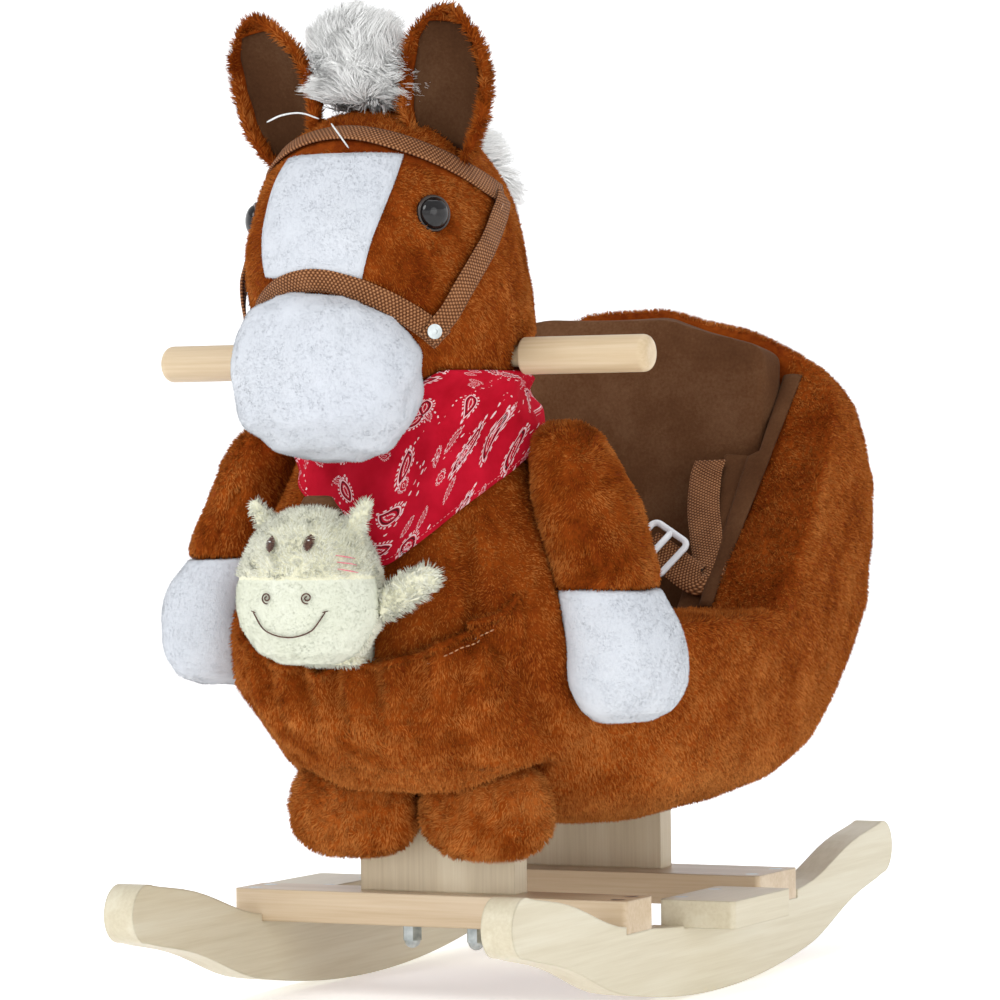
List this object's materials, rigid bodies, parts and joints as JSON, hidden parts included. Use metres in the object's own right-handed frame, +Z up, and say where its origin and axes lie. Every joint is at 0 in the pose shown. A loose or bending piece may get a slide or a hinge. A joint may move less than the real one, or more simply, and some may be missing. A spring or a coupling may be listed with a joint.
{
  "type": "rocking horse",
  "caption": "Plush rocking horse with a padded bucket seat and lap belt, cross handle, footrests and a small pony in a belly pocket, on a curved wooden rocker base.",
  "frame": {"origin": "on the floor, at the middle of the base: midway between the rockers and at the middle of their length", "axes": "+Z up, the horse faces -Y, its left side is +X"},
  "size_m": [0.3146, 0.5481, 0.547],
  "materials": {
    "pale_wood": "clear lacquered pale beech, fine straight grain",
    "warm_wood": "clear lacquered pine and poplar, pinkish, fine grain",
    "plywood": "raw plywood, hidden inside the stuffing",
    "zinc_steel": "zinc plated, slightly dull",
    "brown_plush": "short chestnut plush pile, clumped, with lighter tips",
    "taupe_suede": "taupe microsuede, soft brushed nap",
    "white_plush": "smooth short white velboa",
    "white_mane": "long white fibre pile",
    "glossy_eye": "polished black plastic",
    "tan_webbing": "woven tan webbing, plain weave",
    "red_print": null,
    "white_plastic": "moulded white plastic",
    "cream_plush": "short cream plush"
  },
  "bodies": {
    "horse": {"rocker_left": "pale_wood", "rocker_right": "pale_wood", "front_cross_slat": "warm_wood", "rear_cross_board": "warm_wood", "footrest_left": "pale_wood", "footrest_right": "pale_wood", "front_post": "warm_wood", "rear_post": "warm_wood", "seat_board": "plywood", "back_board": "plywood", "neck_board": "plywood", "handle_grips": "pale_wood", "handle_rod": "pale_wood", "post_bolts": "zinc_steel", "barrel_nuts": "zinc_steel", "post_washers": "zinc_steel", "cap_nuts": "zinc_steel", "rocker_screws": "zinc_steel", "footrest_screws": "zinc_steel", "board_screws": "zinc_steel", "body_brackets": "zinc_steel", "bracket_screws": "zinc_steel", "body_plush": "brown_plush", "rump_plush": "brown_plush", "seat_side_left": "brown_plush", "seat_side_right": "brown_plush", "seat_cushion": "taupe_suede", "backrest_pad": "taupe_suede", "wing_pad_left": "taupe_suede", "wing_pad_right": "taupe_suede", "head": "brown_plush", "muzzle": "white_plush", "blaze": "white_plush", "eyes": "glossy_eye", "ear_left": "brown_plush", "ear_right": "brown_plush", "ear_linings": "taupe_suede", "forelock": "white_mane", "neck_mane": "white_mane", "tail": "white_mane", "pocket": "brown_plush", "browband": "tan_webbing", "noseband": "tan_webbing", "cheek_straps": "tan_webbing", "halter_rivets": "zinc_steel", "bandana": "red_print", "bandana_knot": "red_print", "belt_left": "tan_webbing", "belt_right": "tan_webbing", "belt_buckle": "white_plastic"},
    "left_limb": {"arm_left": "brown_plush", "hoof_left": "white_plush"},
    "right_limb": {"arm_right": "brown_plush", "hoof_right": "white_plush"},
    "left_foot": {"foot_left": "brown_plush"},
    "right_foot": {"foot_right": "brown_plush"},
    "pony": {"pony_head": "cream_plush", "pony_body": "cream_plush", "pony_mane": "taupe_suede", "pony_arm": "cream_plush"}
  },
  "joints": [
    {"name": "left_arm_swing", "type": "hinge", "parent": "horse", "child": "left_limb", "pos_m": [0.074, -0.132, 0.322], "axis": [0, -1, 0], "range_deg": [0, 45]},
    {"name": "right_arm_swing", "type": "hinge", "parent": "horse", "child": "right_limb", "pos_m": [-0.074, -0.132, 0.322], "axis": [0, 1, 0], "range_deg": [0, 45]},
    {"name": "left_foot_lift", "type": "hinge", "parent": "horse", "child": "left_foot", "pos_m": [0.041, -0.137, 0.121], "axis": [-1, 0, 0], "range_deg": [0, 18], "stiffness_Nm_per_rad": 0.05},
    {"name": "right_foot_lift", "type": "hinge", "parent": "horse", "child": "right_foot", "pos_m": [-0.041, -0.137, 0.121], "axis": [-1, 0, 0], "range_deg": [0, 18], "stiffness_Nm_per_rad": 0.05},
    {"name": "pony_lift", "type": "slide", "parent": "horse", "child": "pony", "axis": [0, 0, 1], "range_m": [0, 0.016]}
  ]
}
